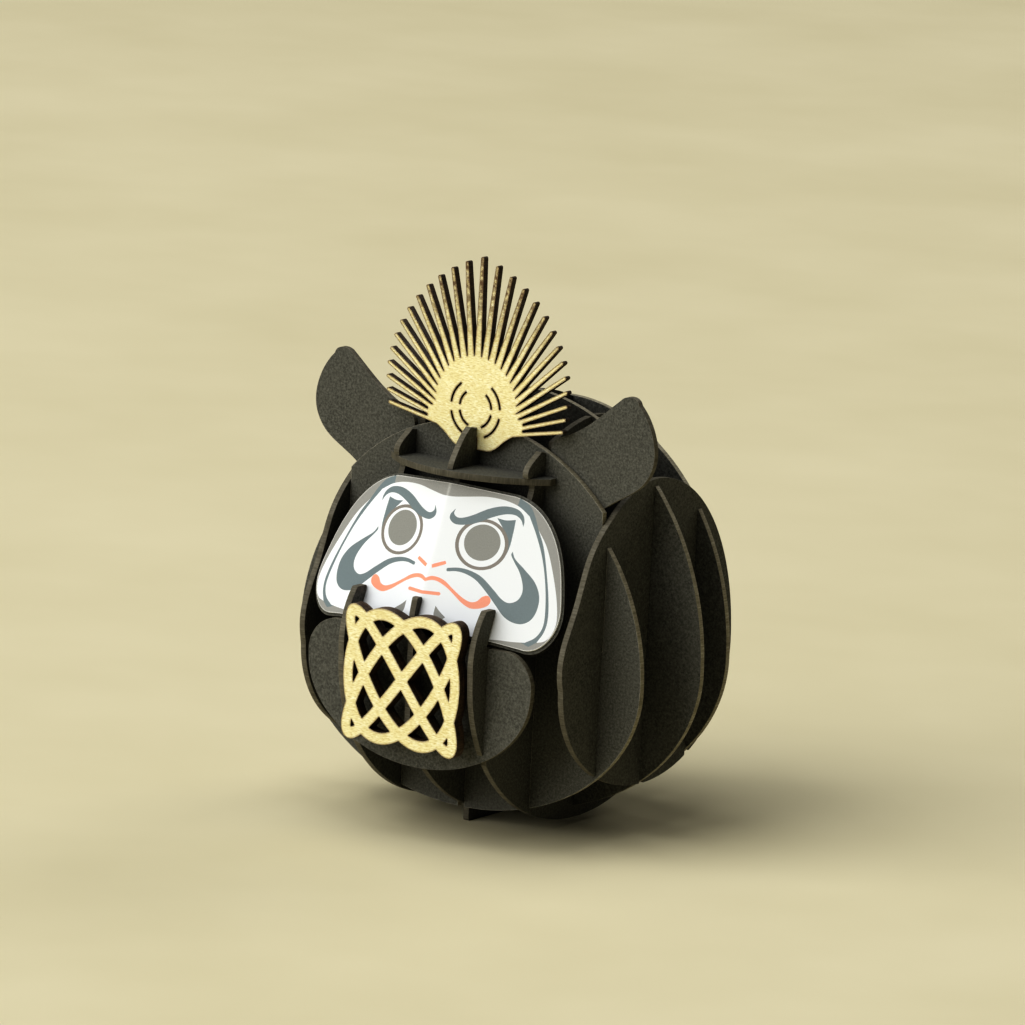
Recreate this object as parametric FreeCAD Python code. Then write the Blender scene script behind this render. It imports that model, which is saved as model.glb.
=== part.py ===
import FreeCAD, Part
import math
import os

# A small standing daruma made of slotted card.  Upright ribs run front to back, upright
# frames run left to right, and they lap into each other like an egg crate.  A visor, horns
# and a ray crest make the helmet, and a folded printed card makes the face.
# Millimetres.  +Z is up, the face looks along -Y, and the foot stands on z = 0 with the
# origin under the middle of the body.

V = FreeCAD.Vector

# ---- card and joints ----
card = 0.8                  # thickness of the black board
fit_gap = 0.05              # play on each side of a card in its slot
slot = card + 2 * fit_gap
glue_line = 0.02            # thickness of a glued seam
pitch = 9.8                 # spacing of the ribs and of the frames
corner_radius = 0.3         # outward corners, slot mouths among them
across_ribs = V(1, 0, 0)
across_frames = V(0, 1, 0)

# ---- where the cards stand ----
inner_x = pitch
outer_x = 2 * pitch
front_y = -pitch
rear_y = pitch
back_y = 2 * pitch
belly_y = -20.2
horn_y = front_y + card + fit_gap

# ---- heights ----
lap_height = 25.0           # where ribs and frames meet, half way up the body
belly_lap = 18.0
horn_lap = 43.0
girth = 22.0                # height at which the body is widest

# ---- body, at the middle ----
back_reach = 27.4
front_reach = 24.3
body_top = 53.6
body_low = 0.6
foot_half_length = 9.0
foot_rise = 3.0

# ---- visor ----
visor_z = 45.2
visor_front = -16.7
visor_radius = 17.0
visor_half_width = 12.1
visor_lap_middle = -13.3
visor_lap_side = -12.0

# ---- face ----
face_tilt = 21.0            # degrees, lower edge forward
face_fold = 11.0            # degrees, each half turned back from the fold
fold_y = -18.2              # a point on the fold
fold_z = 37.5
backing = 0.8
paper = 0.3
face_stack = backing + glue_line + paper
paper_inset = 0.35

# ---- crest ----
crest_thickness = 0.9
crest_y = front_y - card / 2 - fit_gap - crest_thickness / 2
crest_bottom = 47.5
crest_lap = 49.0
ray_centre = 49.0
ray_pairs = 13
ray_step = 6.07             # degrees from one ray to the next
ray_longest = 22.6
ray_loss = 0.70             # each ray is this much shorter than the one above it
ray_tip = 0.23              # half width at the tip
disc_centre = 53.1
disc_radius = 6.1

# ---- emblem ----
emblem_seat = -22.6
emblem_z = 20.2
emblem_half_width = 8.1
emblem_half_height = 7.8
cord_half_width = 0.75
cord_parts = 28


class Outline:
    """A closed outline on a flat sheet, drawn edge by edge."""

    def __init__(self, across, up):
        self.start = V(across, up, 0)
        self.here = self.start
        self.edges = []

    def line(self, across, up):
        end = V(across, up, 0)
        self.edges.append(Part.makeLine(self.here, end))
        self.here = end
        return self

    def arc(self, middle, end):
        self.edges.append(Part.Arc(self.here, V(*middle, 0), V(*end, 0)).toShape())
        self.here = V(*end, 0)
        return self

    def curve(self, *points):
        spline = Part.BSplineCurve()
        spline.interpolate([self.here] + [V(*point, 0) for point in points])
        self.edges.append(spline.toShape())
        self.here = V(*points[-1], 0)
        return self

    def oval(self, level, half_width, half_height, first, last, steps=6):
        """Part of an oval about (0, level), between two angles in degrees."""
        points = []
        for step in range(1, steps + 1):
            turn = math.radians(first + (last - first) * step / steps)
            points.append((half_width * math.cos(turn), level + half_height * math.sin(turn)))
        return self.curve(*points)

    def face(self):
        if self.here.distanceToPoint(self.start) > 1e-6:
            self.line(self.start.x, self.start.y)
        return Part.Face(Part.Wire(self.edges))


# ---- placing sheets ----

def rib_sheet(outline, x, thickness=card):
    """Stand an outline (y, z) up as a front-to-back card."""
    solid = outline.face().extrude(V(0, 0, thickness))
    turn = FreeCAD.Matrix(0, 0, 1, x - thickness / 2, 1, 0, 0, 0, 0, 1, 0, 0, 0, 0, 0, 1)
    return moved(solid, turn)


def frame_sheet(outline, y, thickness=card):
    """Stand an outline (x, z) up as a left-to-right card."""
    solid = outline.face().extrude(V(0, 0, thickness))
    turn = FreeCAD.Matrix(1, 0, 0, 0, 0, 0, -1, y + thickness / 2, 0, 1, 0, 0, 0, 0, 0, 1)
    return moved(solid, turn)


def moved(solid, matrix):
    copy = solid.copy()
    copy.Placement = FreeCAD.Placement(matrix)
    return copy


def block(x_range, y_range, z_range):
    low = V(x_range[0], y_range[0], z_range[0])
    high = V(x_range[1], y_range[1], z_range[1])
    size = high - low
    return Part.makeBox(size.x, size.y, size.z, low)


def outward_corners(solid, normal):
    """Middles of the edges through the card where its outline turns outward."""
    beside = [V(1, 0, 0), V(0, 1, 0), V(0, 0, 1)]
    beside.remove(normal)
    corners = []
    for edge in solid.Edges:
        straight = edge.Curve.TypeId == "Part::GeomLine"
        if not straight or abs(edge.tangentAt(edge.FirstParameter).dot(normal)) < 0.99:
            continue
        middle = edge.CenterOfMass
        inside = 0
        for step in range(12):
            turn = math.radians(30 * step + 7)
            probe = middle + beside[0] * (0.1 * math.cos(turn)) + beside[1] * (0.1 * math.sin(turn))
            inside += solid.isInside(probe, 1e-4, True)
        if inside <= 4:
            corners.append(middle)
    return corners


def eased(solid, normal):
    """Round the outward corners of a card a little; a corner too tight to round stays sharp."""
    for corner in outward_corners(solid, normal):
        edge = min(solid.Edges, key=lambda each: each.CenterOfMass.distanceToPoint(corner))
        try:
            rounded = solid.makeFillet(corner_radius, [edge])
        except Part.OCCError:
            continue
        if rounded.isValid() and len(rounded.Solids) == 1:
            solid = rounded.Solids[0]
    return solid


def with_mirror(half):
    """Join a right half to its mirror image."""
    other = half.mirror(V(0, 0, 0), V(1, 0, 0))
    return half.fuse(other).removeSplitter()


# ---- slots ----

above_all = 80.0
below_all = -5.0


def frame_slot(y, low, high):
    """Room in a rib for the frame standing at y."""
    return block((-40, 40), (y - slot / 2, y + slot / 2), (low, high))


def rib_slot(x, low, high):
    """Room in a frame for the rib standing at x."""
    return block((x - slot / 2, x + slot / 2), (-40, 40), (low, high))


# ---- the folded face ----

def face_front(x, z):
    """How far forward the front of the face is."""
    tilt = math.radians(face_tilt)
    fold = math.radians(face_fold)
    return fold_y + math.tan(fold) / math.cos(tilt) * abs(x) + math.tan(tilt) * (z - fold_z)


def face_back(x, z):
    tilt = math.radians(face_tilt)
    fold = math.radians(face_fold)
    return face_front(x, z) + face_stack / (math.cos(tilt) * math.cos(fold))


def face_half_outline(inset):
    """Right half of the face card, drawn in by the inset; the first stretch runs past the fold."""
    half_width = 19.0
    middle = -2.3
    half_height = 9.5

    def at(across, up):
        drawn_in = (up - middle) * (1 - inset / half_height)
        return (across * (1 - inset / half_width), middle + drawn_in)

    shoulder = (at(13.8, 5.1), at(17.0, 0.5), at(18.5, -4.1), at(19.0, -7.4))
    jowl = (at(18.2, -10.0), at(17.0, -11.3), at(14.8, -11.8))
    return (
        Outline(*at(-2, 7.2))
        .line(*at(9.2, 7.2))
        .curve(*shoulder, *jowl)
        .line(*at(8.0, -11.5))
        .line(*at(-2, -10.7))
    )


def face_layer(inset, depth, thickness):
    """One folded layer whose front lies at the given depth behind the face."""
    solid = face_half_outline(inset).face().extrude(V(0, 0, thickness))
    solid.translate(V(0, 0, -depth - thickness))
    upright = FreeCAD.Rotation(V(1, 0, 0), 90 - face_tilt)
    turned_back = FreeCAD.Rotation(V(0, 1, 0), face_fold)
    solid.Placement = FreeCAD.Placement(V(0, fold_y, fold_z), upright.multiply(turned_back)).multiply(
        solid.Placement
    )
    half = solid.common(block((0, 40), (-60, 20), (0, 80)))
    return with_mirror(half)


def face_print():
    return face_layer(paper_inset, 0, paper)


def face_card():
    return face_layer(0, paper + glue_line, backing)


# ---- ribs, front to back ----

def face_notch(outline, x, hook_top, notch_low, support_top):
    """The hook that holds the face's lower edge and the slope that carries its back."""
    near = max(abs(x) - card / 2, 0)
    far = abs(x) + card / 2
    outline.line(face_front(near, hook_top) - fit_gap, hook_top)
    outline.line(face_front(near, notch_low) - fit_gap, notch_low)
    outline.line(face_back(far, notch_low) + fit_gap, notch_low)
    outline.line(face_back(far, support_top) + fit_gap, support_top)
    return outline


def shared_rib_slots(solid, visor_lap):
    """Slots that the middle three ribs have in common."""
    for y in (front_y, 0, rear_y, back_y):
        solid = solid.cut(frame_slot(y, lap_height - fit_gap, above_all))
    solid = solid.cut(frame_slot(horn_y, horn_lap - fit_gap, above_all))
    solid = solid.cut(frame_slot(belly_y, below_all, belly_lap + fit_gap))
    visor_room = block((-40, 40), (-30, visor_lap + fit_gap), (visor_z - slot / 2, visor_z + slot / 2))
    return solid.cut(visor_room)


def centre_rib():
    """The middle rib: foot, emblem seat, face hook, ridge over the visor."""
    seat_angle = 180 + math.degrees(math.acos(-emblem_seat / front_reach))
    outline = (
        Outline(0, body_top)
        .oval(girth, back_reach, body_top - girth, 90, 0)
        .oval(girth, back_reach, girth - body_low, 0, -90)
        .oval(girth, front_reach, girth - body_low, 270, seat_angle)
        .line(emblem_seat, 28.4)
        .line(-22.1, 30.4)
    )
    face_notch(outline, 0, 30.4, 26.8, 44.0)
    outline.line(-14.3, visor_z)
    outline.line(-16.0, visor_z)
    outline.line(-16.0, 45.7)
    outline.curve((-15.6, 46.7), (-14.9, 47.8), (-13.5, 49.6), (-12.4, 50.5))
    outline.line(-11.4, 50.2)
    outline.arc((-5.8, 52.4), (0, body_top))
    solid = rib_sheet(outline, 0)
    foot = block((-card / 2, card / 2), (-foot_half_length, foot_half_length), (0, foot_rise))
    solid = solid.fuse(foot).removeSplitter()
    crest_room = block(
        (-2, 2),
        (crest_y - crest_thickness / 2 - fit_gap, front_y),
        (crest_lap - fit_gap, above_all),
    )
    return eased(shared_rib_slots(solid.cut(crest_room), visor_lap_middle), across_ribs)


def inner_rib(side):
    """A rib beside the middle one: face hook, belly edge and a small ear over the visor."""
    reach = 25.4
    belly_reach = 23.5
    low = 0.8
    top = 51.9
    outline = (
        Outline(0, top)
        .oval(girth, reach, top - girth, 90, 0)
        .oval(girth, reach, girth - low, 0, -90)
        .oval(girth, belly_reach, girth - low, 270, 180)
        .arc((-23.1, 26.6), (-21.2, 30.1))
    )
    face_notch(outline, inner_x, 30.1, 25.5, 44.0)
    outline.line(-12.3, visor_z)
    outline.line(-13.6, visor_z)
    outline.line(-13.7, 45.7)
    outline.curve((-13.7, 46.6), (-13.0, 47.4), (-12.1, 48.0), (-11.1, 48.7))
    outline.line(-10.3, 48.5)
    outline.arc((-5.0, 50.9), (0, top))
    solid = shared_rib_slots(rib_sheet(outline, side * inner_x), visor_lap_side)
    return eased(solid, across_ribs)


def outer_rib(side):
    """The outermost rib, pushed down over the frames: a gourd-shaped card."""
    front = 18.1
    back = 18.5
    low = 6.8
    top = 45.4
    belly_level = 21.0
    outline = (
        Outline(0, top)
        .oval(girth, back, top - girth, 90, 0)
        .oval(girth, back, girth - low, 0, -90)
        .oval(belly_level, front, belly_level - low, 270, 180)
        .curve((-18.3, 25.6), (-15.7, 31.3), (-13.3, 37.0), (-8.3, 42.2), (-3.8, 44.7), (0, top))
    )
    solid = rib_sheet(outline, side * outer_x)
    for y in (front_y, 0, rear_y):
        solid = solid.cut(frame_slot(y, below_all, lap_height + fit_gap))
    return eased(solid, across_ribs)


# ---- frames, left to right ----

def slotted_frame(half_outline, y, has_outer):
    """Mirror a frame's right half and slot it for the ribs."""
    solid = with_mirror(frame_sheet(half_outline, y))
    for x in (-inner_x, 0, inner_x):
        solid = solid.cut(rib_slot(x, below_all, lap_height + fit_gap))
    if has_outer:
        for x in (-outer_x, outer_x):
            solid = solid.cut(rib_slot(x, lap_height - fit_gap, above_all))
    return eased(solid, across_frames)


def front_frame():
    """Brow and shoulders: a round brow inside the outer ribs, a fin outside them."""
    widest = 26.0
    fin_rise = 26.8
    low = 2.0
    level = 21.0
    brow_level = 25.0
    brow_radius = 25.8
    fin_angle = math.degrees(math.acos(outer_x / widest))
    brow_angle = math.degrees(math.acos(outer_x / brow_radius))
    outline = (
        Outline(0, low)
        .oval(level, widest, level - low, -90, 0)
        .oval(level, widest, fin_rise, 0, fin_angle)
        .line(outer_x, brow_level + brow_radius * math.sin(math.radians(brow_angle)))
        .oval(brow_level, brow_radius, brow_radius, brow_angle, 90)
    )
    return slotted_frame(outline, front_y, True)


def oval_frame(y, widest, low, top, level=girth, has_outer=True):
    outline = (
        Outline(0, low)
        .oval(level, widest, level - low, -90, 0)
        .oval(level, widest, top - level, 0, 90)
    )
    return slotted_frame(outline, y, has_outer)


def middle_frame():
    return oval_frame(0, 28.2, 0.9, 54.0)


def rear_frame():
    return oval_frame(rear_y, 25.4, 2.0, 51.8)


def back_plate():
    return oval_frame(back_y, 18.6, 7.5, 44.0, level=23.0, has_outer=False)


def belly_plate():
    """The belly: flat on top, round below, pushed up into the middle ribs from underneath."""
    level = 20.5
    top = 25.4
    outline = (
        Outline(0, 8.7)
        .oval(level, 16.9, level - 8.7, -90, 0)
        .curve((16.3, 23.3), (14.7, 24.9), (12.6, top))
        .line(0, top)
    )
    solid = with_mirror(frame_sheet(outline, belly_y))
    for x in (-inner_x, 0, inner_x):
        solid = solid.cut(rib_slot(x, belly_lap - fit_gap, above_all))
    return eased(solid, across_frames)


# ---- helmet ----

def horn_plate():
    """Both horns on one card close behind the front frame."""
    outline = (
        Outline(0, 38.0)
        .arc((9.8, 39.2), (19.0, 42.9))
        .curve((21.4, 44.4), (23.9, 46.1), (25.6, 49.0), (25.3, 52.6), (23.1, 56.1))
        .curve((22.6, 56.8), (21.7, 57.0), (20.7, 56.7))
        .curve((18.7, 55.0), (15.4, 52.4), (11.6, 50.5))
        .curve((10.7, 49.9), (10.4, 49.0))
        .line(10.4, 47.6)
        .line(0, 47.0)
    )
    solid = with_mirror(frame_sheet(outline, horn_y))
    for x in (-inner_x, 0, inner_x):
        solid = solid.cut(rib_slot(x, below_all, horn_lap + fit_gap))
    return eased(solid, across_frames)


def visor():
    """A level crescent pushed into the three ribs from in front."""
    centre = visor_front + visor_radius
    tip = centre - math.sqrt(visor_radius ** 2 - visor_half_width ** 2)
    rear = front_y - card / 2 - 2 * fit_gap
    middle = centre - visor_radius * math.cos(math.asin(visor_half_width / 2 / visor_radius))
    outline = (
        Outline(0, visor_front)
        .arc((visor_half_width / 2, middle), (visor_half_width, tip))
        .line(visor_half_width, rear)
        .line(0, rear)
    )
    solid = outline.face().extrude(V(0, 0, card))
    solid.translate(V(0, 0, visor_z - card / 2))
    solid = with_mirror(solid)
    for x, lap in ((-inner_x, visor_lap_side), (0, visor_lap_middle), (inner_x, visor_lap_side)):
        room = block((x - slot / 2, x + slot / 2), (lap - fit_gap, 0), (visor_z - card, visor_z + card))
        solid = solid.cut(room)
    return eased(solid, V(0, 0, 1))


def ray(number):
    """One crest ray, counted from the upright one."""
    turn = math.radians(ray_step * number)
    reach = ray_longest - ray_loss * abs(number)
    lift = disc_centre - ray_centre
    rim = lift * math.cos(turn) + math.sqrt(disc_radius ** 2 - (lift * math.sin(turn)) ** 2)
    root = rim - 1.2
    spread = 0.45 * math.radians(ray_step)
    taper = (ray_tip - spread * rim) / (reach - rim)
    root_half = spread * rim + taper * (root - rim)
    along = (math.sin(turn), math.cos(turn))
    beside = (math.cos(turn), -math.sin(turn))

    def at(distance, offset):
        across = along[0] * distance + beside[0] * offset
        up = ray_centre + along[1] * distance + beside[1] * offset
        return (across, up)

    return (
        Outline(*at(root, -root_half))
        .line(*at(reach - ray_tip, -ray_tip))
        .arc(at(reach, 0), at(reach - ray_tip, ray_tip))
        .line(*at(root, root_half))
    )


def arc_slit(radius, first, last):
    """A plain curved slit in the crest's disc."""
    half = 0.12
    slit_drop = 0.5

    def at(distance, angle):
        turn = math.radians(angle)
        return (distance * math.cos(turn), disc_centre - slit_drop + distance * math.sin(turn))

    middle = (first + last) / 2
    return (
        Outline(*at(radius - half, first))
        .arc(at(radius - half, middle), at(radius - half, last))
        .line(*at(radius + half, last))
        .arc(at(radius + half, middle), at(radius + half, first))
    )


def crest():
    """Disc and rays cut from one gold card, notched over the middle rib."""
    shoulder_x = 7.2
    rim_level = 52.4
    rim_angle = math.degrees(math.asin((rim_level - disc_centre) / disc_radius))
    rim_x = disc_radius * math.cos(math.radians(rim_angle))
    outline = (
        Outline(0, crest_bottom)
        .line(2.0, crest_bottom)
        .curve((3.1, 47.9), (4.5, 49.05), (6.0, 50.0), (shoulder_x, 50.5))
        .line(shoulder_x, 51.9)
        .line(rim_x, rim_level)
        .oval(disc_centre, disc_radius, disc_radius, rim_angle, 90)
    )
    solid = with_mirror(frame_sheet(outline, crest_y, crest_thickness))
    rays = [frame_sheet(ray(n), crest_y, crest_thickness) for n in range(-ray_pairs, ray_pairs + 1)]
    solid = solid.fuse(rays).removeSplitter()
    for radius in (2.4, 3.7):
        for first, last in ((6, 52), (-66, -12)):
            slit = frame_sheet(arc_slit(radius, first, last), crest_y, 2 * crest_thickness)
            solid = solid.cut(slit).cut(slit.mirror(V(0, 0, 0), V(1, 0, 0)))
    return solid.cut(rib_slot(0, below_all, crest_lap + fit_gap))


# ---- emblem ----

def cord_point(turn, offset):
    """A point beside the looped cord's centre line, which swings 3 times across for 4 up."""
    across = emblem_half_width * math.sin(3 * turn)
    up = emblem_half_height * math.sin(4 * turn)
    run = 3 * emblem_half_width * math.cos(3 * turn)
    rise = 4 * emblem_half_height * math.cos(4 * turn)
    length = math.hypot(run, rise)
    return (across - offset * rise / length, emblem_z + up + offset * run / length)


def looped_cord(y, thickness):
    """A flat cord woven into a plain knot, one closed loop."""
    parts = []
    step = 2 * math.pi / cord_parts
    for number in range(cord_parts):
        turns = [step * (number + share / 4) for share in range(5)]
        outline = Outline(*cord_point(turns[0], cord_half_width))
        outline.curve(*[cord_point(turn, cord_half_width) for turn in turns[1:]])
        outline.line(*cord_point(turns[-1], -cord_half_width))
        outline.curve(*[cord_point(turn, -cord_half_width) for turn in turns[-2::-1]])
        parts.append(frame_sheet(outline, y, thickness))
    return parts[0].fuse(parts[1:]).removeSplitter()


def emblem_backing():
    return looped_cord(emblem_seat - glue_line - card / 2, card)


def emblem_gold():
    return looped_cord(emblem_seat - 2 * glue_line - 1.5 * card, card)


# ---- every piece ----

def pieces():
    return {
        "centre_rib": centre_rib(),
        "inner_rib_left": inner_rib(-1),
        "inner_rib_right": inner_rib(1),
        "outer_rib_left": outer_rib(-1),
        "outer_rib_right": outer_rib(1),
        "front_frame": front_frame(),
        "middle_frame": middle_frame(),
        "rear_frame": rear_frame(),
        "back_plate": back_plate(),
        "belly_plate": belly_plate(),
        "horn_plate": horn_plate(),
        "visor": visor(),
        "crest": crest(),
        "face_card": face_card(),
        "face_print": face_print(),
        "emblem_backing": emblem_backing(),
        "emblem_gold": emblem_gold(),
    }


os.makedirs("parts", exist_ok=True)
for name, solid in pieces().items():
    if len(solid.Solids) == 1:
        solid = solid.Solids[0]
    print(name, "solids", len(solid.Solids), "valid", solid.isValid(), "mm3", round(solid.Volume, 1))
    solid.exportStep("parts/" + name + ".step")
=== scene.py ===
"""Looks of the slotted-card daruma: board and gold finishes, the printed face, light and camera."""

import math

import bmesh
import bpy
from mathutils import Matrix, Vector, geometry


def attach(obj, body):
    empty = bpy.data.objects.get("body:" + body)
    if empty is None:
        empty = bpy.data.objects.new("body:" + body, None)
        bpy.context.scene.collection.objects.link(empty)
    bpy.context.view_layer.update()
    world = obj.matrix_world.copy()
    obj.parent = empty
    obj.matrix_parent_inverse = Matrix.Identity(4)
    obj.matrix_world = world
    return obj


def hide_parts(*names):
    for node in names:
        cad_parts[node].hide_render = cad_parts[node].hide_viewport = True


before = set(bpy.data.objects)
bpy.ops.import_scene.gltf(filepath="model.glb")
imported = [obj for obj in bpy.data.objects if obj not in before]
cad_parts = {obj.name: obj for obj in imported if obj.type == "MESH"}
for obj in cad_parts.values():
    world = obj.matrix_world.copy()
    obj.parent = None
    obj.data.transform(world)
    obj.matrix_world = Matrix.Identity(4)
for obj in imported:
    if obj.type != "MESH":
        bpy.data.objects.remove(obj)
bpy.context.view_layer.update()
MM = 0.001
X, Y, Z = 0, 1, 2

# ---- camera ----
view_azimuth = 34.8         # degrees towards the doll's left cheek, from straight in front
view_height = 11.4          # degrees above level
view_roll = 2.8             # the doll leans a little in the picture
view_distance = 1075 * MM
view_lens = 302.0           # millimetres, like the sensor
view_sensor = 36
view_near, view_far = 0.05, 50
body_middle = Vector((0, 0, 25 * MM))
look_across = -0.55 * MM    # from the body's middle to the picture's middle
look_up = 12.73 * MM

# ---- room ----
light_distance = 2.5        # metres from the body's middle to every softbox
room_colour = (0.80, 0.79, 0.75)
room_strength = 0.045
floor_radius = 4.0
floor_corners = 96

# ---- plates ----
doll_height = 71.6 * MM
corner_easing = 0.05 * MM
eased_angle = 40            # degrees; only corners sharper than this are eased
plate_weld = 1e-6
FACE, EDGE, BACK = 0, 1, 2  # the material slots of a plate
flat_square = 0.99          # a plate's flats look at least this squarely along its axis

# ---- folded cards: shares of a face's normal that tell the broad faces from the cut edges ----
broad_forward = 0.8         # at least this much to the front or the back
broad_upward = 0.45         # at most this much up or down
half_sideways = 0.05        # each half at least this much to its own side

# ---- finishes ----
streak_shrink = 0.12        # how much a cut edge's pattern is drawn out along its streaks
rim_gain = 3.2              # brings the bend of a square corner up to about 1
whitest = 0.95

# ---- printed face, millimetres on each flat half: across from the fold, up from its middle ----
print_top = 6.85            # the sheet's top edge at the fold
print_thickness = 0.3
fold_softness = 0.25
crease_places = (0.4, 1.0, 2.0)     # creases beside the fold, in shares of its softness
crease_foot, crease_head = -12, 8
curve_steps = 6
point_gap = 1e-4            # closer points of an outline are one
touching = 1e-7             # closer corners of a mesh, in metres, are one


# ---------------------------------------------------------------- materials

class Finish:
    """A node material being put together on one Principled shader."""

    def __init__(self, name, **constants):
        self.material = bpy.data.materials.new(name)
        self.material.use_nodes = True
        self.tree = self.material.node_tree
        self.shader = self.tree.nodes["Principled BSDF"]
        for socket, value in constants.items():
            self.shader.inputs[socket.replace("_", " ")].default_value = value
        self.place = self.add("ShaderNodeTexCoord").outputs["Object"]

    def add(self, kind, inputs=None, **settings):
        """A new node; an input is linked where a socket is given, and set where a value is."""
        node = self.tree.nodes.new(kind)
        for key, value in settings.items():
            setattr(node, key, value)
        for key, value in (inputs or {}).items():
            if isinstance(value, bpy.types.NodeSocket):
                self.tree.links.new(value, node.inputs[key])
            else:
                node.inputs[key].default_value = value
        return node

    def wire(self, socket, value):
        """Feeds one of the shader's own sockets."""
        self.tree.links.new(value, self.shader.inputs[socket])

    def coordinate(self, letter):
        """The place along one axis, in metres."""
        return self.add("ShaderNodeSeparateXYZ", {"Vector": self.place}).outputs[letter]

    def stretched(self, scale, turn=(0, 0, 0)):
        """Places scaled along each axis, so that a pattern runs long where the scale is small."""
        inputs = {"Vector": self.place, "Scale": scale, "Rotation": turn}
        return self.add("ShaderNodeMapping", inputs).outputs["Vector"]

    def noise(self, size, detail=3.0, roughness=0.6, distortion=0.0, place=None):
        """Cloudy values about 0.5, with features of the given size in metres."""
        node = self.add("ShaderNodeTexNoise", {
            "Vector": place or self.place, "Scale": 1 / size, "Detail": detail,
            "Roughness": roughness, "Distortion": distortion,
        })
        return node.outputs["Fac"]

    def streaks(self, size, axis):
        """Cloudy values drawn out long along one axis."""
        scale = [1.0, 1.0, 1.0]
        scale[axis] = streak_shrink
        return self.noise(size, detail=3, place=self.stretched(tuple(scale)))

    def math(self, operation, first, second=0.0, clamp=False):
        inputs = {0: first, 1: second}
        node = self.add("ShaderNodeMath", inputs, operation=operation, use_clamp=clamp)
        return node.outputs[0]

    def rim(self, reach):
        """1 on the corner between a flat and a cut edge, falling to 0 on the flats."""
        soft = self.add("ShaderNodeBevel", {"Radius": reach}, samples=6).outputs["Normal"]
        flat = self.add("ShaderNodeNewGeometry").outputs["Normal"]
        dot = self.add("ShaderNodeVectorMath", {0: soft, 1: flat}, operation="DOT_PRODUCT")
        bend = self.math("SUBTRACT", 1.0, dot.outputs["Value"])
        return self.math("MULTIPLY", bend, rim_gain, clamp=True)

    def ramp(self, value, stops):
        """Colours or greys laid along a value, as (position, tone) stops."""
        node = self.add("ShaderNodeValToRGB", {"Fac": value})
        elements = node.color_ramp.elements
        while len(elements) < len(stops):
            elements.new(0.5)
        for element, (position, tone) in zip(elements, stops):
            element.position = position
            element.color = (*tone, 1) if isinstance(tone, tuple) else (tone, tone, tone, 1)
        return node.outputs["Color"]

    def mix(self, share, base, top):
        """The base under a top colour; a share of 1 hides the base."""
        base, top = ((*tone, 1) if isinstance(tone, tuple) else tone for tone in (base, top))
        return self.add("ShaderNodeMix", {0: share, 6: base, 7: top}, data_type="RGBA").outputs[2]

    def over(self, base, top, value, stops):
        """The base under a top colour whose share is laid along a value."""
        return self.mix(self.ramp(value, stops), base, top)

    def bump(self, height, depth, below=None):
        """The normal of a fine relief, on top of the coarser one below it."""
        inputs = {"Height": height, "Distance": depth, "Strength": 1.0}
        if below:
            inputs["Normal"] = below
        return self.add("ShaderNodeBump", inputs).outputs["Normal"]


def black_board(name, scuff_and_highlight_width, bare):
    """Matt black board: fibre grain, faint clouds and flecks, corners scuffed to a bare tone that
    is also a painted highlight.
    """
    f = Finish(name, Specular_IOR_Level=0.18)
    black, grey, pale = (0.045, 0.045, 0.038), (0.098, 0.098, 0.084), (0.170, 0.170, 0.148)
    cloud_tone, fleck_tone = (0.121, 0.119, 0.102), (0.20, 0.19, 0.16)
    grain = f.noise(0.30 * MM, detail=4, roughness=0.75)
    clouds = f.noise(5 * MM, detail=3)
    flecks = f.noise(0.22 * MM, detail=1, place=f.stretched((1, 0.6, 2.2), (0.4, 0.3, 0.6)))
    base = f.ramp(grain, [(0.34, black), (0.5, grey), (0.68, pale)])
    base = f.over(base, cloud_tone, clouds, [(0.35, 0.0), (0.7, 0.35)])
    base = f.over(base, fleck_tone, flecks, [(0.70, 0.0), (0.78, 0.45)])
    # The corners are lightened toward the bare tone: partly worn bare board, partly a painted
    # highlight along the corners.
    worn = f.ramp(f.noise(0.9 * MM, detail=5), [(0.35, 0.15), (0.65, 0.85)])
    scuff_and_highlight_mask = f.math("MULTIPLY", f.rim(scuff_and_highlight_width), worn)
    f.wire("Base Color", f.mix(scuff_and_highlight_mask, base, bare))
    f.wire("Roughness", f.ramp(grain, [(0.3, 0.60), (0.7, 0.76)]))
    f.wire("Normal", f.bump(grain, 0.02 * MM))
    return f.material


def cut_edge(name, axis, painted_lightness):
    """The laser-cut edge of the board: brown-grey, with fine streaks across its thickness; its
    lightness is painted light, set for how lit each kind of edge looks.
    """
    f = Finish(name, Specular_IOR_Level=0.4)
    # Painted light: the tones are scaled up for brightly lit edges and down for shaded ones.
    pale, middle, dark = (
        tuple(painted_lightness * channel for channel in colour)
        for colour in ((0.27, 0.25, 0.19), (0.16, 0.147, 0.108), (0.080, 0.071, 0.048))
    )
    streaks = f.streaks(0.20 * MM, axis)
    soot = f.noise(2.2 * MM, detail=4)
    base = f.ramp(streaks, [(0.25, dark), (0.55, middle), (0.8, pale)])
    base = f.over(base, dark, soot, [(0.42, 0.0), (0.68, 0.55)])
    # Corners lightened toward the pale tone: partly wear, partly a painted highlight.
    f.wire("Base Color", f.mix(f.math("MULTIPLY", f.rim(0.10 * MM), 0.5), base, pale))
    f.wire("Roughness", f.ramp(soot, [(0.3, 0.55), (0.7, 0.8)]))
    f.wire("Normal", f.bump(streaks, 0.02 * MM))
    return f.material


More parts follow.
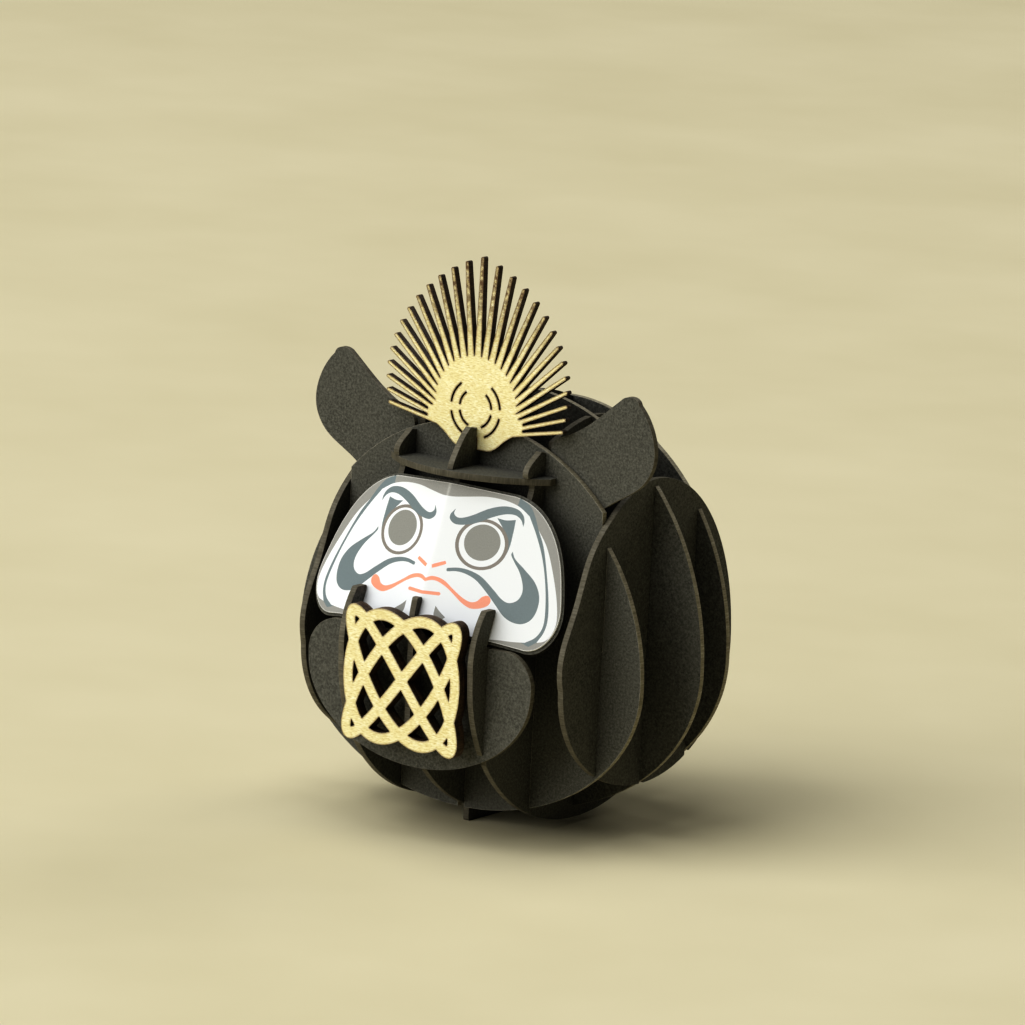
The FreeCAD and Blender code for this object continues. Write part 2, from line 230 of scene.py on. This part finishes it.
def gold_face():
    """Gold-washed board: slanting fibres that catch the light, scorched next to the cuts.

    The tips of the crest's upper rays are mottled brown.
    """
    f = Finish("gold_face", Metallic=0.3, Specular_IOR_Level=0.5)
    old_gold, gold, pale_gold = (0.66, 0.55, 0.23), (0.88, 0.82, 0.46), (0.97, 0.96, 0.78)
    wash_tone, glint, speck = (0.76, 0.66, 0.31), (0.99, 0.97, 0.80), (0.42, 0.31, 0.11)
    tan, char, smoke = (0.55, 0.38, 0.19), (0.11, 0.062, 0.028), (0.13, 0.075, 0.036)

    slanting = f.stretched((0.45, 1.0, 2.2), turn=(0, math.radians(40), 0))
    fibres = f.noise(0.26 * MM, detail=4, roughness=0.7, distortion=0.3, place=slanting)
    wash = f.noise(1.3 * MM, detail=3)
    sparkle = f.noise(0.12 * MM, detail=2, roughness=0.8)
    base = f.ramp(fibres, [(0.36, old_gold), (0.5, gold), (0.64, pale_gold)])
    base = f.over(base, wash_tone, wash, [(0.4, 0.0), (0.7, 0.45)])
    base = f.over(base, glint, sparkle, [(0.55, 0.0), (0.72, 0.6)])
    base = f.over(base, speck, sparkle, [(0.28, 0.5), (0.38, 0.0)])

    near_cut = f.rim(0.42 * MM)
    base = f.over(base, tan, near_cut, [(0.02, 0.0), (0.16, 0.75)])
    base = f.over(base, char, near_cut, [(0.15, 0.0), (0.46, 1.0)])

    height = f.math("MULTIPLY", f.coordinate("Z"), 1 / doll_height)
    tips = f.ramp(height, [(0.82, 0.0), (0.95, 1.0)])
    patches = f.ramp(f.noise(0.55 * MM, detail=4, roughness=0.7), [(0.40, 0.25), (0.58, 1.0)])
    f.wire("Base Color", f.mix(f.math("MULTIPLY", tips, patches), base, smoke))
    f.wire("Roughness", f.ramp(fibres, [(0.3, 0.38), (0.7, 0.56)]))
    f.wire("Normal", f.bump(sparkle, 0.008 * MM, below=f.bump(fibres, 0.03 * MM)))
    return f.material


def burnt_edge():
    """The scorched brown cut edge of the gold board."""
    f = Finish("burnt_edge", Specular_IOR_Level=0.4)
    black, brown, soot_tone = (0.020, 0.012, 0.006), (0.11, 0.068, 0.034), (0.018, 0.012, 0.008)
    streaks = f.streaks(0.16 * MM, Y)
    soot = f.noise(1.4 * MM, detail=4)
    base = f.ramp(streaks, [(0.3, black), (0.75, brown)])
    f.wire("Base Color", f.over(base, soot_tone, soot, [(0.4, 0.0), (0.7, 0.7)]))
    f.wire("Roughness", f.ramp(soot, [(0.3, 0.50), (0.7, 0.78)]))
    f.wire("Normal", f.bump(streaks, 0.015 * MM))
    return f.material


def brown_board():
    """The plain brown back of the gold board and the emblem's lower layer."""
    f = Finish("brown_board", Specular_IOR_Level=0.35)
    grain = f.noise(0.2 * MM, detail=4)
    f.wire("Base Color", f.ramp(grain, [(0.3, (0.055, 0.036, 0.018)), (0.7, (0.12, 0.08, 0.045))]))
    f.wire("Roughness", f.ramp(grain, [(0.3, 0.66), (0.7, 0.82)]))
    f.wire("Normal", f.bump(grain, 0.012 * MM))
    return f.material


def printed_paper(name, colour, mottle=0.12, cracked=0.0):
    """Smooth paper under a layer of ink.

    Ink that is cracked is worn pale along the fold, and off the sheet's cut edge.
    """
    f = Finish(name, Specular_IOR_Level=0.4, Coat_Weight=0.06, Coat_Roughness=0.35)
    crack_tone, bare_tone = (0.62, 0.62, 0.60), (0.78, 0.78, 0.75)
    light = tuple(min(channel * (1 + mottle), whitest) for channel in colour)
    dark = tuple(channel * (1 - mottle) for channel in colour)
    grain = f.noise(0.11 * MM, detail=3, roughness=0.7)
    clouds = f.noise(3 * MM, detail=2)
    base = f.ramp(grain, [(0.3, dark), (0.7, light)])
    base = f.over(base, colour, clouds, [(0.3, 0.0), (0.7, 0.25)])
    if cracked:
        off_fold = f.math("MULTIPLY", f.math("ABSOLUTE", f.coordinate("X")), 1 / (0.3 * MM))
        near_fold = f.math("SUBTRACT", 1.0, off_fold, clamp=True)
        cracks = f.ramp(f.noise(0.25 * MM, detail=4), [(0.3, 0.2), (0.7, cracked)])
        base = f.mix(f.math("MULTIPLY", near_fold, cracks), base, crack_tone)
        base = f.over(base, bare_tone, f.rim(0.20 * MM), [(0.08, 0.0), (0.28, 1.0)])
    f.wire("Base Color", base)
    f.wire("Roughness", f.ramp(grain, [(0.3, 0.42), (0.7, 0.55)]))
    f.wire("Normal", f.bump(grain, 0.003 * MM))
    return f.material


def paper_edge():
    """The bare cut edge and back of the printed sheet."""
    f = Finish("paper_edge", Specular_IOR_Level=0.3)
    fibres = f.noise(0.1 * MM, detail=4)
    f.wire("Base Color", f.ramp(fibres, [(0.3, (0.74, 0.74, 0.71)), (0.7, (0.92, 0.92, 0.89))]))
    f.wire("Roughness", f.ramp(fibres, [(0.3, 0.75), (0.7, 0.9)]))
    return f.material


def floor_finish():
    """Plain pale ground with a very faint clouding."""
    f = Finish("floor", Specular_IOR_Level=0.2)
    clouds = f.noise(60 * MM, detail=3)
    f.wire("Base Color", f.ramp(clouds, [(0.3, (0.65, 0.60, 0.41)), (0.7, (0.69, 0.64, 0.45))]))
    f.wire("Roughness", f.ramp(clouds, [(0.3, 0.8), (0.7, 0.9)]))
    return f.material


# ---------------------------------------------------------------- the plates

def set_materials(node, materials):
    """Gives a node these materials in place of its own; every face goes back to the first one."""
    node.data.materials.clear()
    for material in materials:
        node.data.materials.append(material)


def ease_corners(node):
    """A fine rounding where a flat meets a cut edge, too small to move either."""
    weld = node.modifiers.new("weld", "WELD")
    weld.merge_threshold = plate_weld
    bevel = node.modifiers.new("ease", "BEVEL")
    bevel.width = corner_easing
    bevel.segments = 2
    bevel.limit_method = "ANGLE"
    bevel.angle_limit = math.radians(eased_angle)
    bevel.use_clamp_overlap = True


def dress_plate(name, axis, face, edge, back=None):
    """Gives a flat plate its face finish on both sides and its edge finish all round."""
    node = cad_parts[name]
    set_materials(node, (face, edge, back or face))
    for polygon in node.data.polygons:
        lean = polygon.normal[axis]
        if abs(lean) > flat_square:
            polygon.material_index = BACK if lean > 0 else FACE
        else:
            polygon.material_index = EDGE
    ease_corners(node)


def dress_folded(name, face, edge):
    """Gives a folded card its finishes; its two flats lean, so a flat is any broad face."""
    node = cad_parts[name]
    set_materials(node, (face, edge))
    for polygon in node.data.polygons:
        normal = polygon.normal
        broad = abs(normal.y) > broad_forward and abs(normal.z) < broad_upward
        polygon.material_index = FACE if broad else EDGE
    ease_corners(node)


# ---------------------------------------------------------------- the printed shapes

def smooth(points):
    """A smooth open run through the points."""
    ends = [2 * points[0] - points[1], *points, 2 * points[-1] - points[-2]]
    run = []
    for before, start, end, after in zip(ends, ends[1:], ends[2:], ends[3:]):
        for step in range(curve_steps):
            t = step / curve_steps
            run.append(0.5 * (
                2 * start + (end - before) * t
                + (2 * before - 5 * start + 4 * end - after) * t ** 2
                + (3 * start - before - 3 * end + after) * t ** 3
            ))
    run.append(points[-1])
    return run


def shape(*runs):
    """A closed outline of runs that meet at corners; a run of two points is straight."""
    outline = []
    for run in runs:
        points = [Vector(point) for point in run]
        for point in smooth(points) if len(points) > 2 else points:
            if not outline or (point - outline[-1]).length > point_gap:
                outline.append(point)
    if (outline[0] - outline[-1]).length < point_gap:
        outline.pop()
    return outline


def oval(across, up, wide, high, steps=40):
    turns = [2 * math.pi * step / steps for step in range(steps)]
    return [Vector((across + wide * math.cos(turn), up + high * math.sin(turn))) for turn in turns]


def face_fields():
    """The large fields of the right half: the white face, its dark side band and its rim."""
    white_field = shape(
        [(-1, 5.3), (0.6, 5.25), (2.6, 5.6), (5.2, 6.1), (7.6, 6.15), (9.7, 5.75), (11.4, 4.85)],
        [(11.4, 4.85), (13.0, 2.6), (14.5, 0.0), (15.75, -3.1), (16.6, -6.2), (16.8, -8.2),
         (16.2, -9.6), (15.0, -10.5)],
        [(15.0, -10.5), (13.2, -10.75), (11.0, -10.95), (8.4, -11.4)],
        [(8.4, -11.4), (-1, -11.4)],
    )
    side_band = shape(
        [(9.6, 6.8), (11.1, 6.15), (12.1, 5.0), (13.0, 3.45)],
        [(13.0, 3.45), (14.25, 1.45), (15.6, -1.8), (16.68, -4.9), (17.2, -7.2), (17.1, -8.8),
         (16.5, -10.2)],
        [(16.5, -10.2), (15.6, -10.9)],
        [(15.6, -10.9), (14.2, -10.5)],
        [(14.2, -10.5), (9.0, 0.0)],
        [(9.0, 0.0), (9.6, 6.8)],
    )
    rim_sliver = shape(
        [(12.9, 3.55), (14.7, 1.5), (16.3, -1.4), (17.7, -4.6), (18.4, -7.2), (18.15, -8.9),
         (17.5, -9.8), (16.5, -10.2)],
        [(16.5, -10.2), (16.7, -8.8), (16.8, -7.2), (16.3, -4.9), (15.2, -1.8), (13.8, 1.45),
         (12.9, 3.55)],
    )
    return [("white", rim_sliver), ("slate", side_band), ("white", white_field)]


def face_eye():
    """The right eye: its lid, its ring and its pupil."""
    lid = shape(
        [(7.3, 3.8), (8.5, 3.75), (9.75, 4.05)],
        [(9.75, 4.05), (9.85, 2.4), (9.85, 0.6), (9.55, -0.7), (8.9, -1.8), (8.0, -2.6)],
        [(8.0, -2.6), (8.5, -1.6), (9.1, -0.2), (9.0, 1.2), (8.5, 2.5), (7.3, 3.8)],
    )
    eye_ring = oval(6.17, 0.2, 3.55, 3.2)
    eye_white = oval(6.17, 0.2, 3.06, 2.8)
    pupil = oval(6.17, 0.44, 2.42, 2.27)
    return [("slate", lid), ("ring", eye_ring), ("white", eye_white), ("grey", pupil)]


def face_hair():
    """The right brow and whisker."""
    brow = shape(
        [(1.6, 3.9), (1.55, 3.2), (2.35, 2.85), (3.8, 3.4), (5.9, 4.7), (7.8, 5.4), (9.5, 5.4),
         (10.5, 4.85), (10.9, 4.1), (10.95, 3.4)],
        [(10.95, 3.4), (10.4, 4.2), (9.5, 4.6), (8.2, 4.45), (6.6, 3.75), (4.8, 2.7),
         (3.3, 2.15), (2.0, 2.0), (1.2, 2.45), (1.1, 3.1), (1.6, 3.9)],
    )
    whisker = shape(
        [(2.45, -3.62), (2.6, -3.5), (4.0, -3.2), (5.6, -3.26), (7.3, -3.75), (9.2, -4.95),
         (10.5, -5.85), (11.6, -6.15), (12.6, -5.65), (13.0, -4.7), (12.8, -3.6), (12.0, -2.2),
         (10.9, -1.0), (10.35, -0.3), (10.4, 0.15)],
        [(10.4, 0.15), (11.0, -0.7), (12.6, -1.75), (14.3, -3.0), (15.3, -4.5), (15.5, -6.1),
         (15.1, -7.5), (14.1, -8.3), (12.8, -8.4), (11.4, -7.9), (9.9, -6.7), (8.3, -5.4),
         (6.6, -4.25), (5.0, -3.75), (3.7, -3.7), (2.65, -3.92), (2.45, -3.8)],
    )
    return [("slate", brow), ("slate", whisker)]


def face_mouth():
    """The right halves of nostrils, mouth, lower lip and chin."""
    nostril = shape(
        [(0.4, -3.62), (0.45, -3.45), (1.9, -2.76), (2.05, -2.8)],
        [(2.05, -2.8), (2.2, -3.0), (2.1, -3.14)],
        [(2.1, -3.14), (0.65, -3.85), (0.45, -3.8), (0.4, -3.62)],
    )
    mouth = shape(
        [(-0.1, -5.32), (0.9, -4.87), (2.4, -5.06), (3.9, -5.9), (5.3, -6.65), (6.5, -7.02),
         (7.4, -6.8), (8.0, -6.1), (8.7, -5.83), (9.2, -6.28), (9.03, -6.98), (8.1, -7.55),
         (6.8, -7.8), (5.5, -7.36), (4.2, -6.56), (3.0, -5.87), (1.8, -5.43), (0.9, -5.38),
         (-0.1, -5.75)],
    )
    lip = shape(
        [(-0.2, -6.9), (2.3, -6.65)],
        [(2.3, -6.65), (2.5, -6.85), (2.35, -7.08)],
        [(2.35, -7.08), (-0.2, -7.32)],
    )
    chin = shape(
        [(2.25, -8.4), (3.0, -9.0), (3.9, -9.55)],
        [(3.9, -9.55), (2.9, -10.4), (2.3, -9.6), (2.25, -8.4)],
    )
    return [("coral", nostril), ("coral", mouth), ("coral", lip), ("grey", chin)]


def face_artwork():
    """Each printed shape of the right half as (ink, outline), from the lowest layer up."""
    return [*face_fields(), *face_eye(), *face_hair(), *face_mouth()]


# ---------------------------------------------------------------- the printed sheet

class FoldedFront:
    """The front of the CAD print: its fold line, and the plane and cut outline of each half."""

    def __init__(self, node):
        self.mesh = node.data
        self.flats = {side: self.flat_polygons(side) for side in (-1, 1)}
        normals = {
            side: max(flats, key=lambda polygon: polygon.area).normal.copy()
            for side, flats in self.flats.items()
        }
        self.forward = (normals[-1] + normals[1]).normalized()
        self.up = normals[-1].cross(normals[1]).normalized()
        self.across = {side: self.up.cross(normals[side]) * side for side in (-1, 1)}
        self.fold_sine = math.sin(self.forward.angle(normals[1]))
        corners = [self.mesh.vertices[i].co for flat in self.flats[1] for i in flat.vertices]
        fold = [co for co in corners if abs(co.x) < touching]
        fold_top = max(fold, key=lambda co: co.z)
        self.zero = fold_top - self.up * print_top * MM

    def flat_polygons(self, side):
        """The front faces of one half."""
        return [
            polygon for polygon in self.mesh.polygons
            if polygon.normal.y < -broad_forward and polygon.normal.x * side > half_sideways
        ]

    def outline(self, side):
        """The half's cut outline, in millimetres across and up."""
        steps = {
            (start, end) for flat in self.flats[side]
            for start, end in zip(flat.vertices, [*flat.vertices[1:], flat.vertices[0]])
        }
        rim = {start: end for start, end in steps if (end, start) not in steps}
        here = next(iter(rim))
        corners = []
        while here in rim:
            corners.append(self.mesh.vertices[here].co - self.zero)
            here = rim.pop(here)
        return [Vector((co.dot(self.across[side]), co.dot(self.up))) / MM for co in corners]

    def place(self, side, point):
        """A point of one half in space; the fold is eased over a short way."""
        softening = math.hypot(point.x, fold_softness) - abs(point.x)
        flat = self.across[side] * point.x + self.up * point.y
        return self.zero + (flat - self.forward * softening * self.fold_sine) * MM


def counterclockwise(outline):
    doubled_area = sum(a.cross(b) for a, b in zip(outline, [*outline[1:], outline[0]]))
    return outline if doubled_area > 0 else outline[::-1]


def inked_half(front, side, inks):
    """Corners, triangles and inks of one half: the topmost printed shape colours each triangle."""
    layers = [("border", front.outline(side)), *face_artwork()]
    points = []
    faces = []
    for _, outline in layers:
        faces.append(list(range(len(points), len(points) + len(outline))))
        points += counterclockwise(outline)
    creases = []
    for place in crease_places:
        across = place * fold_softness
        creases.append((len(points), len(points) + 1))
        points += [Vector((across, crease_foot)), Vector((across, crease_head))]
    inside_outlines = 1
    cut_points, _, cut_faces, _, _, face_layers = geometry.delaunay_2d_cdt(
        points, creases, faces, inside_outlines, point_gap)
    corners = [front.place(side, point) for point in cut_points]
    triangles = []
    colours = []
    for triangle, covering in zip(cut_faces, face_layers):
        on_the_sheet = 0 in covering
        if on_the_sheet:
            triangles.append(triangle if side > 0 else triangle[::-1])
            colours.append(inks.index(layers[max(covering)][0]))
    return corners, triangles, colours


def printed_face():
    """The folded sheet with its printed face, in place of the plain CAD print."""
    finishes = {
        "border": printed_paper("ink_border", (0.300, 0.300, 0.282), cracked=0.75),
        "slate": printed_paper("ink_slate", (0.168, 0.214, 0.230)),
        "ring": printed_paper("ink_ring", (0.23, 0.21, 0.185)),
        "grey": printed_paper("ink_grey", (0.262, 0.265, 0.243)),
        "coral": printed_paper("ink_coral", (0.86, 0.34, 0.22), mottle=0.05),
        "white": printed_paper("bare_paper", (0.80, 0.83, 0.86), mottle=0.015),
        "edge": paper_edge(),
    }
    inks = list(finishes)
    front = FoldedFront(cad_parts["face_print"])
    sheet = bmesh.new()
    for side in (-1, 1):
        corners, triangles, colours = inked_half(front, side, inks)
        vertices = [sheet.verts.new(corner) for corner in corners]
        for triangle, colour in zip(triangles, colours):
            polygon = sheet.faces.new([vertices[i] for i in triangle])
            polygon.material_index = colour
    bmesh.ops.remove_doubles(sheet, verts=sheet.verts, dist=touching)
    loose = [vertex for vertex in sheet.verts if not vertex.link_faces]
    bmesh.ops.delete(sheet, geom=loose, context="VERTS")
    face = as_object("printed_face", sheet)
    for finish in finishes.values():
        face.data.materials.append(finish)
    paper = face.modifiers.new("paper", "SOLIDIFY")
    paper.thickness = print_thickness * MM
    paper.offset = -1
    paper.use_even_offset = True
    paper.material_offset = len(inks)
    paper.material_offset_rim = len(inks)
    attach(face, "root")
    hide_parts("face_print")


def as_object(name, mesh_being_built):
    mesh = bpy.data.meshes.new(name)
    mesh_being_built.to_mesh(mesh)
    mesh_being_built.free()
    made = bpy.data.objects.new(name, mesh)
    bpy.context.scene.collection.objects.link(made)
    return made


# ---------------------------------------------------------------- floor, light and camera

def direction(turn, rise):
    """Out from the doll, in degrees round from straight in front and up from level."""
    turn = math.radians(turn)
    rise = math.radians(rise)
    level = math.cos(rise)
    return Vector((math.sin(turn) * level, -math.cos(turn) * level, math.sin(rise)))


def place_camera():
    back = direction(view_azimuth, view_height)
    turn = math.radians(view_azimuth)
    roll = math.radians(view_roll)
    level_right = Vector((math.cos(turn), math.sin(turn), 0))
    level_up = back.cross(level_right)
    right = level_right * math.cos(roll) + level_up * math.sin(roll)
    up = level_up * math.cos(roll) - level_right * math.sin(roll)
    target = body_middle + right * look_across + up * look_up
    camera = bpy.data.objects.new("camera", bpy.data.cameras.new("camera"))
    camera.data.sensor_width = view_sensor
    camera.data.lens = view_lens
    camera.data.clip_start = view_near
    camera.data.clip_end = view_far
    facing = Matrix((right, up, back)).transposed().to_4x4()
    camera.matrix_world = Matrix.Translation(target + back * view_distance) @ facing
    bpy.context.scene.collection.objects.link(camera)
    bpy.context.scene.camera = camera


def soft_light(name, turn, rise, size, watts, colour=(1, 1, 1)):
    """A square softbox that faces the doll."""
    toward = direction(turn, rise)
    lamp = bpy.data.objects.new(name, bpy.data.lights.new(name, "AREA"))
    lamp.data.size = size
    lamp.data.energy = watts
    lamp.data.color = colour
    lamp.location = body_middle + toward * light_distance
    lamp.rotation_mode = "QUATERNION"
    lamp.rotation_quaternion = toward.to_track_quat("Z", "Y")
    bpy.context.scene.collection.objects.link(lamp)


def light_scene():
    """Three softboxes, a faint even room light, and the contrast of the view."""
    soft_light("key", turn=-30, rise=34, size=2.8, watts=55.0, colour=(1.0, 0.99, 0.97))
    soft_light("top", turn=-80, rise=80, size=2.2, watts=25.0)
    soft_light("back", turn=170, rise=35, size=1.2, watts=9.0, colour=(1.0, 0.98, 0.95))
    room = bpy.data.worlds.new("room")
    room.use_nodes = True
    background = room.node_tree.nodes["Background"]
    background.inputs["Color"].default_value = (*room_colour, 1)
    background.inputs["Strength"].default_value = room_strength
    bpy.context.scene.world = room
    bpy.context.scene.view_settings.view_transform = "Standard"
    bpy.context.scene.view_settings.look = "High Contrast"


def lay_floor():
    """A wide round floor."""
    disc = bmesh.new()
    bmesh.ops.create_circle(disc, cap_ends=True, segments=floor_corners, radius=floor_radius)
    floor = as_object("floor", disc)
    floor.data.materials.append(floor_finish())


# ---------------------------------------------------------------- the doll

def dress_doll():
    """Gives every card its finishes; the cut edges carry painted light, each kind made lighter or
    darker for how the light falls on it.
    """
    # The bare corner tone is partly wear and partly painted highlight; the front frame's board has
    # a paler, wider painted highlight.
    board = black_board("black_board", 0.13 * MM, bare=(0.29, 0.27, 0.22))
    scuffed_highlit_board = black_board("scuffed_highlit_board", 0.24 * MM, bare=(0.60, 0.56, 0.46))
    gold = gold_face()
    burnt = burnt_edge()
    brown = brown_board()
    # Painted light: the frames' edges are painted much lighter, and the visor's and the face card's
    # edges darker.
    rib_edge = cut_edge("rib_edge", X, painted_lightness=0.85)
    frame_edge = cut_edge("frame_edge", Y, painted_lightness=2.0)
    plate_edge = cut_edge("plate_edge", Y, painted_lightness=0.9)
    visor_edge = cut_edge("visor_edge", Z, painted_lightness=0.65)
    face_card_edge = cut_edge("face_card_edge", Y, painted_lightness=0.2)
    for name in ("centre_rib", "inner_rib_left", "inner_rib_right", "outer_rib_left",
                 "outer_rib_right"):
        dress_plate(name, X, board, rib_edge)
    # The front frame takes the board with the paler painted corner highlight.
    dress_plate("front_frame", Y, scuffed_highlit_board, frame_edge)
    for name in ("middle_frame", "rear_frame", "back_plate"):
        dress_plate(name, Y, board, frame_edge)
    for name in ("belly_plate", "horn_plate"):
        dress_plate(name, Y, board, plate_edge)
    dress_plate("visor", Z, board, visor_edge)
    dress_folded("face_card", board, face_card_edge)
    for name in ("crest", "emblem_gold"):
        dress_plate(name, Y, gold, burnt, back=brown)
    dress_plate("emblem_backing", Y, brown, burnt)


dress_doll()
printed_face()
lay_floor()
light_scene()
place_camera()
